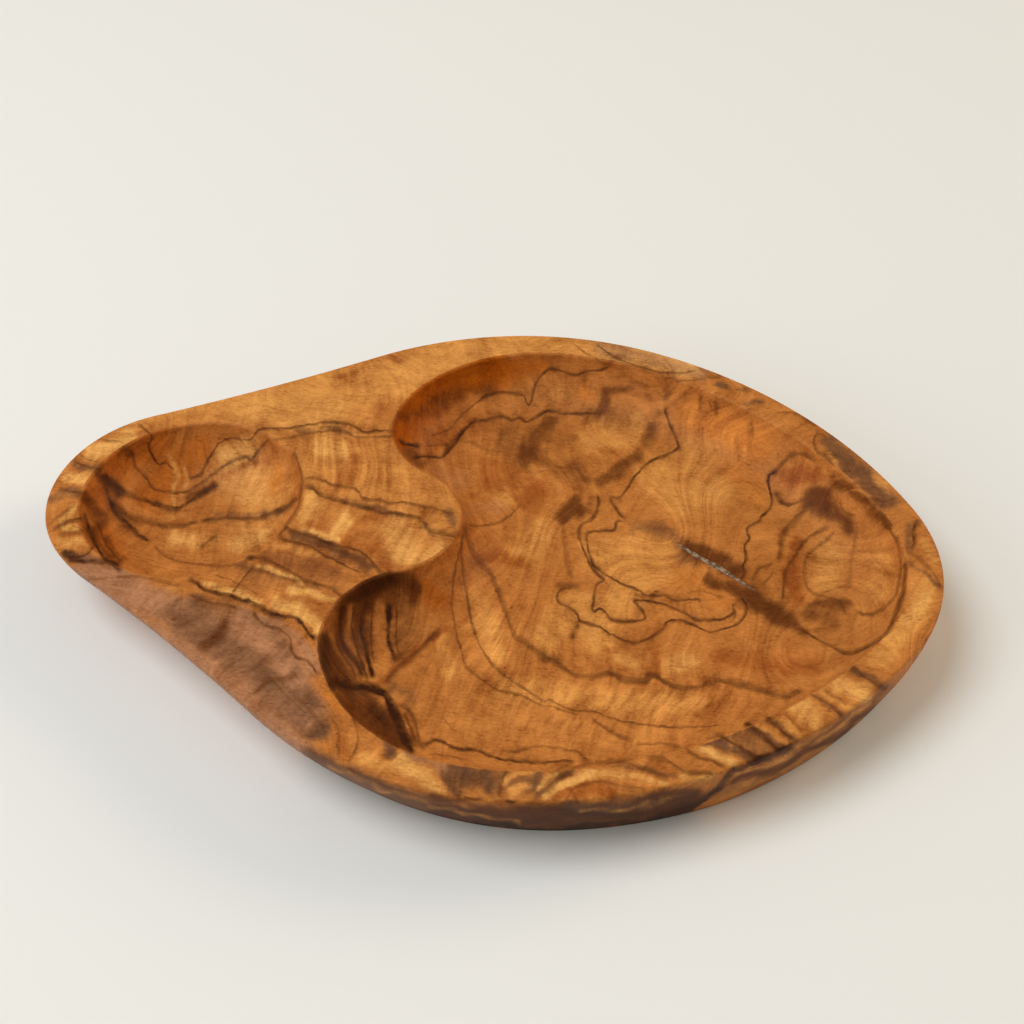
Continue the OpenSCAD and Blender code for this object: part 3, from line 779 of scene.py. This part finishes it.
# Filled crack: a ragged streak between two pointed ends, set flush in the floor of the olive well
crack_c = np.array([DISH_L / 2 - CRACK_BACK, CRACK_SIDE])
along = np.linspace(-1, 1, 41)
half_w = 0.5 * CRACK_W * (1 - along ** 2) * (0.78 + 0.16 * np.sin(9 * along + 1) + 0.06 * np.sin(23 * along))
sway = 0.25 * np.sin(4 * along + 0.6) * (1 - along ** 2)
u, v = way(CRACK_TURN), way(CRACK_TURN + 90)
upper = crack_c + np.outer(along * CRACK_L / 2, u) + np.outer(sway + half_w, v)
lower = crack_c + np.outer(along * CRACK_L / 2, u) + np.outer(sway - half_w, v)
streak = np.vstack([lower, upper[-2:0:-1]])
crack_top = body.add(np.c_[streak, np.full(len(streak), WELL_FLOOR)])
crack_bed = body.add(np.c_[streak, np.full(len(streak), WELL_FLOOR - CRACK_DEEP)])
body.skin(crack_bed, crack_top)
in_floor = within(body.points[well_rings[-1]])
in_crack = within(streak)
body.sheet([well_rings[-1], crack_top], STEP, lambda p: in_floor(p) & ~in_crack(p), WELL_FLOOR, 1)
body.sheet([crack_bed], STEP, in_crack, WELL_FLOOR - CRACK_DEEP, 1)


def make_piece(name, points, faces, node):
    mesh = bpy.data.meshes.new(name)
    mesh.from_pydata((points * MM).tolist(), [], faces)
    mesh.validate()
    mesh.shade_smooth()
    piece = bpy.data.objects.new(name, mesh)
    bpy.context.scene.collection.objects.link(piece)
    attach(piece, "root")
    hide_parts(node)
    return piece


dish = make_piece("dish_wood", body.points, body.faces, "dish_body")

filler = Body()
rims = [filler.add(np.c_[streak, np.full(len(streak), z)]) for z in (WELL_FLOOR - CRACK_DEEP, WELL_FLOOR)]
filler.skin(rims[0], rims[1])
filler.sheet([rims[1]], STEP, in_crack, WELL_FLOOR, 1)
filler.sheet([rims[0]], STEP, in_crack, WELL_FLOOR - CRACK_DEEP, -1)
streak_piece = make_piece("crack_streak", filler.points, filler.faces, "crack_filler")


# Figure fields, worked out once for each vertex and kept on the mesh
REACH = 16.0
APART = 22.0
END_FADE = 5.0
HALO = 4.0
HALO_DEPTH = 0.25
FLOW_CELL = 32.0
FLOW_SCALE = 100.0
FLOW_EASE = 0.02
TONE_SETS = 3
LIGHT_TONES = ("straw", "honey")
DARK_TONES = ("rust", "dusk", "umber", "soot")
names = list(TONES)


def rounded(course, parts=4):
    """Smooth line through the points of a course."""
    p = np.array(course, float)
    ends = np.vstack([2 * p[0] - p[1], p, 2 * p[-1] - p[-2]])
    t = np.arange(parts)[:, None] / parts
    rows = [0.5 * (2 * b + t * (c - a) + t ** 2 * (2 * a - 5 * b + 4 * c - d) + t ** 3 * (3 * b - a - 3 * c + d))
            for a, b, c, d in zip(ends, ends[1:], ends[2:], ends[3:])]
    return np.vstack(rows + [p[-1:]])


def close_to(points, line, reach):
    """Index of the points inside the box of a line, widened by the reach."""
    return np.flatnonzero(((points > line.min(0) - reach) & (points < line.max(0) + reach)).all(1))


def nearest(points, line):
    """Signed distance of points from a line, and how far from its nearer end that place is."""
    if len(line) == 1:
        return np.hypot(*(points - line[0]).T), np.full(len(points), END_FADE)
    a, d = line[:-1], np.diff(line, axis=0)
    span = (d ** 2).sum(1)
    run = np.r_[0, np.cumsum(np.sqrt(span))]
    w = points[:, None] - a
    t = np.clip((w * d).sum(2) / span, 0, 1)
    gap = ((w - t[:, :, None] * d) ** 2).sum(2)
    k = gap.argmin(1)
    i = np.arange(len(points))
    side = np.sign(d[k, 0] * w[i, k, 1] - d[k, 1] * w[i, k, 0])
    at = run[k] + t[i, k] * np.sqrt(span[k])
    return side * np.sqrt(gap[i, k]), np.minimum(at, run[-1] - at)


def linear(tone):
    """Linear colour of a tone given as it shows."""
    c = np.array(TONES[tone]) / 255
    return np.where(c < 0.04045, c / 12.92, ((c + 0.055) / 1.055) ** 2.4)


def sway_of(pixel):
    """Slow wander that keeps the soft patches from looking brushed."""
    x, y = pixel.T
    return np.c_[2.2 * np.sin(0.11 * x + 0.06 * y) + 1.4 * np.sin(0.19 * y - 0.13 * x + 1),
                 2.2 * np.sin(0.12 * y - 0.05 * x + 2) + 1.4 * np.sin(0.17 * x + 0.21 * y)]


def tone_shares(pixel, sunk, lines):
    """Share of each tone at each point: the ground, then the soft patches and the halo of each vein over it."""
    share = np.zeros((len(pixel), 4 * TONE_SETS))
    share[:, names.index(GROUND)] = 1

    def lay(name, cover, near):
        share[near] *= 1 - cover[:, None]
        share[near, names.index(name)] += cover

    swayed = pixel + sway_of(pixel)
    for patches, there in ((TOP_PATCHES, ~sunk), (WELL_PATCHES, sunk)):
        for name, opacity, radius, course in patches:
            line = rounded(course) if len(course) > 1 else np.array(course, float)
            near = close_to(swayed, line, 2 * radius)
            near = near[there[near]]
            gap, _ = nearest(swayed[near], line)
            lay(name, opacity * np.exp(-np.abs(gap / radius) ** 3), near)
    for (dark, half, _), line in zip(VEINS, lines):
        near = close_to(pixel, line, 3 * (HALO + half))
        gap, end = nearest(pixel[near], line)
        lay("umber", HALO_DEPTH * dark * np.exp(-(gap / (HALO + half)) ** 2) * np.clip(end / END_FADE, 0, 1), near)
    return share


def curl_field(pixel):
    curl = np.full(len(pixel), CURL_GROUND)
    for strength, radius, course in CURLS:
        line = rounded(course)
        near = close_to(pixel, line, 2.6 * radius)
        gap, _ = nearest(pixel[near], line)
        curl[near] += np.exp(-(gap / radius) ** 2) * (strength - curl[near])
    return curl


def vein_layers(pixel, lines):
    """Veins shared out over layers whose lines stay apart: signed distance, darkness, half-width, distance."""
    layers = []
    for (dark, half, _), line in zip(VEINS, lines):
        for members, field in layers:
            if all(((line[:, None] - m[None]) ** 2).sum(2).min() > APART ** 2 for m in members):
                break
        else:
            members, field = [], np.tile([REACH, 0.0, 1.0, REACH], (len(pixel), 1))
            layers.append((members, field))
        members.append(line)
        near = close_to(pixel, line, REACH)
        gap, end = nearest(pixel[near], line)
        nearer = np.abs(gap) < field[near, 3]
        fade = dark * np.clip(end / END_FADE, 0, 1)
        rows = np.c_[gap, fade, np.full(len(gap), half), np.abs(gap)]
        field[near[nearer]] = rows[nearer]
    return [field for _, field in layers]


def grain_field(pixel, lines):
    """Coordinates across and along the grain, from a smooth field whose slopes follow the veins."""
    places, ways = [], []
    for line in lines:
        step = line[::5] if len(line) > 5 else line[[0, -1]]
        d = np.diff(step, axis=0)
        places.append((step[1:] + step[:-1]) / 2)
        ways.append(d / np.hypot(*d.T)[:, None])
    places = np.vstack(places) / FLOW_SCALE
    along = np.vstack(ways)
    across = np.c_[-along[:, 1], along[:, 0]]
    lo, hi = pixel.min(0) / FLOW_SCALE, pixel.max(0) / FLOW_SCALE
    cell = FLOW_CELL / FLOW_SCALE
    knots = np.stack(np.meshgrid(np.arange(lo[0], hi[0], cell), np.arange(lo[1], hi[1], cell)), -1).reshape(-1, 2)
    apart = places[:, None] - knots
    slope = 3 * np.sqrt((apart ** 2).sum(2))[:, :, None] * apart

    def rows(direction):
        return np.c_[(slope * direction[:, None]).sum(2), direction]

    system = np.vstack([rows(across), rows(along), FLOW_EASE * np.eye(len(knots) + 2)])
    ones, zeros, rest = np.ones(len(places)), np.zeros(len(places)), np.zeros(len(knots) + 2)
    aims = np.c_[np.r_[ones, zeros, rest], np.r_[zeros, ones, rest]]
    weights = np.linalg.lstsq(system, aims, rcond=None)[0]
    field = np.zeros((len(pixel), 2))
    for i in range(0, len(pixel), 4000):
        q = pixel[i:i + 4000] / FLOW_SCALE
        far = np.sqrt(((q[:, None] - knots) ** 2).sum(2))
        field[i:i + 4000] = np.c_[far ** 3, q] @ weights
    return field * FLOW_SCALE


def keep(mesh, name, kind, rows):
    data = mesh.attributes.new(name, kind, "POINT").data
    data.foreach_set("color" if kind == "FLOAT_COLOR" else "vector", np.ascontiguousarray(rows, np.float32).ravel())


pixel = to_pixel(body.points)
vein_lines = [rounded(course) for _, _, course in VEINS]
plan = body.points[:, :2]
height = body.points[:, 2]
sunk = (in_well(plan) | in_pit(plan)) & (height > FOOT_ROUND) & (height < DISH_H - 0.05)
shares = tone_shares(pixel, sunk, vein_lines)
shares[:, -1] = curl_field(pixel)
layers = vein_layers(pixel, vein_lines)
grain = grain_field(pixel, vein_lines + [rounded(course) for course in GUIDES])
for k in range(TONE_SETS):
    keep(dish.data, f"tones_{k}", "FLOAT_COLOR", shares[:, 4 * k:4 * k + 4])
keep(dish.data, "grain", "FLOAT_VECTOR", np.c_[grain, body.points[:, 2]])
for k, field in enumerate(layers):
    keep(dish.data, f"veins_{k}", "FLOAT_COLOR", field)


class Graph:
    """Short ways to add and join the nodes of a material."""

    def __init__(self, name):
        self.material = bpy.data.materials.new(name)
        self.material.use_nodes = True
        self.tree = self.material.node_tree
        self.shader = self.tree.nodes["Principled BSDF"]

    def put(self, socket, value):
        if isinstance(value, bpy.types.NodeSocket):
            self.tree.links.new(value, socket)
        elif value is not None:
            socket.default_value = value

    def node(self, kind, values=(), **settings):
        made = self.tree.nodes.new(kind)
        for key, value in settings.items():
            setattr(made, key, value)
        for socket, value in zip(made.inputs, values):
            self.put(socket, value)
        return made

    def math(self, operation, *values, clamp=False):
        return self.node("ShaderNodeMath", values, operation=operation, use_clamp=clamp).outputs[0]

    def vector(self, operation, *values):
        return self.node("ShaderNodeVectorMath", values, operation=operation).outputs[0]

    def attribute(self, name):
        return self.node("ShaderNodeAttribute", attribute_name=name)

    def noise(self, vector, detail=2.0, roughness=0.5):
        made = self.node("ShaderNodeTexNoise", (vector,))
        for key, value in (("Scale", 1.0), ("Detail", detail), ("Roughness", roughness)):
            made.inputs[key].default_value = value
        return made.outputs["Fac"]

    def between(self, value, low, high, to_low=0.0, to_high=1.0):
        values = (value, low, high, to_low, to_high)
        return self.node("ShaderNodeMapRange", values, interpolation_type="SMOOTHSTEP").outputs[0]

    def mix(self, factor, a, b):
        made = self.node("ShaderNodeMix", data_type="RGBA")
        for index, value in ((0, factor), (6, a), (7, b)):
            self.put(made.inputs[index], value)
        return made.outputs[2]


def wood_material(count):
    g = Graph("olive_wood")
    shares = []
    for k in range(TONE_SETS):
        kept = g.attribute(f"tones_{k}")
        shares += list(g.node("ShaderNodeSeparateColor", (kept.outputs["Color"],)).outputs)
        shares.append(kept.outputs["Alpha"])
    curled = shares[-1]
    grain = g.attribute("grain").outputs["Vector"]
    place = g.node("ShaderNodeTexCoord").outputs["Object"]

    # Fibre along the plank, streaks along the grain, curl across it, and slow clouds of light and shade
    fibre = g.noise(g.vector("MULTIPLY", place, (260, 3000, 1500)), 2, 0.6)
    pores = g.noise(g.vector("MULTIPLY", place, (420, 1900, 1200)), 1, 0.5)
    speck = g.noise(g.vector("MULTIPLY", place, (1000, 1400, 1400)), 2, 0.7)
    streak_fine = g.noise(g.vector("MULTIPLY", grain, (0.36, 0.02, 0.05)), 3, 0.6)
    streak_wide = g.noise(g.vector("MULTIPLY", grain, (0.085, 0.01, 0.03)), 2, 0.5)
    curl = g.noise(g.vector("MULTIPLY", grain, (0.02, 0.07, 0.05)), 4, 0.62)
    cloud = g.noise(g.vector("MULTIPLY", grain, (0.02, 0.022, 0.05)), 2, 0.5)
    mottle = g.noise(g.vector("MULTIPLY", place, (130, 170, 170)), 5, 0.68)
    parts = [(fibre, 0.35), (streak_wide, 0.25), (cloud, 0.45), (speck, 0.8), (mottle, 1.1)]
    shade = -0.5 * sum(weight for _, weight in parts)
    for value, weight in parts:
        shade = g.math("MULTIPLY_ADD", value, weight, shade)
    ripple = g.noise(g.vector("MULTIPLY", grain, (0.04, 0.17, 0.05)), 3, 0.6)
    waves = g.math("MULTIPLY_ADD", ripple, 1.3, g.math("MULTIPLY_ADD", curl, 1.8, -1.55))
    cross = g.math("MULTIPLY", waves, curled)
    shade = g.math("ADD", shade, cross)
    along = g.math("MULTIPLY", g.math("SUBTRACT", streak_fine, 0.5), g.math("MULTIPLY_ADD", curled, -1.3, 1.2))
    shade = g.math("ADD", shade, along)
    shade = g.math("ADD", shade, g.between(pores, 0.6, 0.78, 0.0, -0.3))

    # Where tones meet, the light parts of the grain take the lighter one and the dark parts the darker
    drift = g.math("MULTIPLY_ADD", mottle, 1.6, g.math("MULTIPLY_ADD", streak_wide, 0.8, -1.2))
    drift = g.math("ADD", drift, cross)
    lean = {name: 1.0 for name in TONES}
    lean.update(dict.fromkeys(LIGHT_TONES, g.math("MULTIPLY_ADD", drift, 1.3, 1.0)))
    lean.update(dict.fromkeys(DARK_TONES, g.math("MULTIPLY_ADD", drift, -1.3, 1.0)))
    total = 0.0
    mixed = (0, 0, 0)
    for name, share in zip(TONES, shares):
        leaned = g.math("MAXIMUM", g.math("MULTIPLY", share, lean[name]), 0.0)
        picked = g.math("POWER", leaned, 1.6)
        total = g.math("ADD", total, picked)
        mixed = g.vector("MULTIPLY_ADD", picked, tuple(linear(name)), mixed)
    tone = g.vector("DIVIDE", mixed, total)
    tinted = g.vector("MULTIPLY", tone, g.vector("MULTIPLY_ADD", shade, (0.8, 1.0, 1.2), (1, 1, 1)))

    # Dark veins, ragged by noise, with one soft side that changes along the line
    ragged = g.noise(g.vector("MULTIPLY", grain, (0.12, 0.16, 0.1)), 3, 0.6)
    wander = g.math("MULTIPLY_ADD", ragged, 3.0, -1.5)
    jagged = g.noise(g.vector("MULTIPLY", grain, (0.07, 0.13, 0.1)), 3, 0.6)
    wander = g.math("ADD", wander, g.math("MULTIPLY_ADD", jagged, 3.2, -1.6))
    swell = g.between(g.noise(g.vector("MULTIPLY", place, (160, 160, 160)), 3, 0.6), 0.3, 0.7, 0.55, 1.5)
    beaded = g.noise(g.vector("MULTIPLY", place, (230, 230, 230)), 3, 0.6)
    leaning = g.noise(g.vector("MULTIPLY", grain, (0.02, 0.02, 0.02)), 1, 0.5)
    soft_left = g.between(leaning, 0.35, 0.65, 0.9, 2.2)
    soft_right = g.between(leaning, 0.35, 0.65, 2.2, 0.9)
    clear = 1.0
    for k in range(count):
        layer = g.attribute(f"veins_{k}")
        away, dark, half = g.node("ShaderNodeSeparateColor", (layer.outputs["Color"],)).outputs
        shifted = g.math("ADD", away, wander)
        side = g.math("GREATER_THAN", shifted, 0.0)
        soft = g.node("ShaderNodeMix", (side, None, soft_left, soft_right)).outputs[0]
        gap = g.math("DIVIDE", g.math("ABSOLUTE", shifted), g.math("MULTIPLY", half, swell))
        core = g.between(gap, g.math("MULTIPLY", soft, 0.1), soft, 1.0, 0.0)
        held = g.between(layer.outputs["Alpha"], 6.5, 9.0, 1.0, 0.0)
        line = g.math("MULTIPLY", g.math("MULTIPLY", core, dark), held)
        clear = g.math("MULTIPLY", clear, g.math("SUBTRACT", 1.0, line))
    inked = g.math("SUBTRACT", 1.0, clear)
    inked = g.math("MULTIPLY", inked, g.between(beaded, 0.3, 0.7, 0.7, 1.2), clamp=True)
    ink = g.mix(inked, (0.15, 0.038, 0.004, 1), (0.042, 0.012, 0.003, 1))
    colour = g.mix(inked, tinted, ink)
    g.put(g.shader.inputs["Base Color"], colour)

    # Oiled satin finish
    sheen = g.math("MULTIPLY_ADD", streak_fine, 0.16, 0.42)
    g.put(g.shader.inputs["Roughness"], sheen)
    g.shader.inputs["Specular IOR Level"].default_value = 0.08
    relief = g.math("MULTIPLY_ADD", pores, 0.6, streak_fine)
    bump = g.node("ShaderNodeBump")
    bump.inputs["Strength"].default_value = 0.25
    bump.inputs["Distance"].default_value = 0.00015
    g.put(bump.inputs["Height"], relief)
    g.put(g.shader.inputs["Normal"], bump.outputs["Normal"])
    return g.material


def filler_material():
    g = Graph("crack_filler")
    place = g.node("ShaderNodeTexCoord").outputs["Object"]
    mottle = g.noise(g.vector("MULTIPLY", place, (900, 900, 900)), 4, 0.65)
    pits = g.noise(g.vector("MULTIPLY", place, (2200, 2200, 2200)), 2, 0.5)
    colour = g.mix(g.between(mottle, 0.38, 0.64), (0.09, 0.042, 0.018, 1), (0.38, 0.25, 0.135, 1))
    g.put(g.shader.inputs["Base Color"], colour)
    g.put(g.shader.inputs["Roughness"], g.math("MULTIPLY_ADD", pits, 0.3, 0.5))
    bump = g.node("ShaderNodeBump")
    bump.inputs["Strength"].default_value = 0.5
    bump.inputs["Distance"].default_value = 0.0003
    g.put(bump.inputs["Height"], pits)
    g.put(g.shader.inputs["Normal"], bump.outputs["Normal"])
    return g.material


dish.data.materials.append(wood_material(len(layers)))
streak_piece.data.materials.append(filler_material())

# Floor
mesh = bpy.data.meshes.new("floor")
mesh.from_pydata([(-3, -3, 0), (3, -3, 0), (3, 3, 0), (-3, 3, 0)], [], [(0, 1, 2, 3)])
floor = bpy.data.objects.new("floor", mesh)
bpy.context.scene.collection.objects.link(floor)
paper = bpy.data.materials.new("paper")
paper.use_nodes = True
bsdf = paper.node_tree.nodes["Principled BSDF"]
bsdf.inputs["Base Color"].default_value = (0.83, 0.835, 0.785, 1)
bsdf.inputs["Roughness"].default_value = 0.9
bsdf.inputs["Specular IOR Level"].default_value = 0.1
mesh.materials.append(paper)

# Light
world = bpy.data.worlds.new("studio")
bpy.context.scene.world = world
world.use_nodes = True
world.node_tree.nodes["Background"].inputs["Color"].default_value = (1.0, 0.935, 0.83, 1)
world.node_tree.nodes["Background"].inputs["Strength"].default_value = 0.34


def area_light(name, at, aim, size, power, colour):
    data = bpy.data.lights.new(name, "AREA")
    data.shape = "DISK"
    data.size = size
    data.energy = power
    data.color = colour
    lamp = bpy.data.objects.new(name, data)
    z = np.array(at, float) - np.array(aim, float)
    z /= np.linalg.norm(z)
    x = np.cross([0, 0, 1.0], z)
    x /= np.linalg.norm(x)
    y = np.cross(z, x)
    lamp.matrix_world = Matrix([(x[k], y[k], z[k], at[k]) for k in range(3)] + [(0, 0, 0, 1)])
    bpy.context.scene.collection.objects.link(lamp)


area_light("window", (-0.86, -0.22, 1.66), (0, 0, 0), 1.15, 17.8, (0.97, 1.0, 1.08))
area_light("fill", (-1.45, -0.9, 0.8), (0, 0, 0), 1.1, 9, (0.97, 1.0, 1.08))
area_light("lamp", (1.9, 1.2, 1.15), (0, 0, 0), 1.2, 24, (1.0, 0.82, 0.62))

# Camera
data = bpy.data.cameras.new("camera")
data.sensor_width = SENSOR_MM
data.lens = CAM_FOCAL / IMAGE * SENSOR_MM
data.clip_start = 0.01
camera = bpy.data.objects.new("camera", data)
axes = np.c_[cam_right, cam_up, -cam_forward, CAM_AT * MM]
camera.matrix_world = Matrix([tuple(row) for row in axes] + [(0, 0, 0, 1)])
bpy.context.scene.collection.objects.link(camera)
bpy.context.scene.camera = camera
bpy.context.scene.view_settings.view_transform = "Standard"
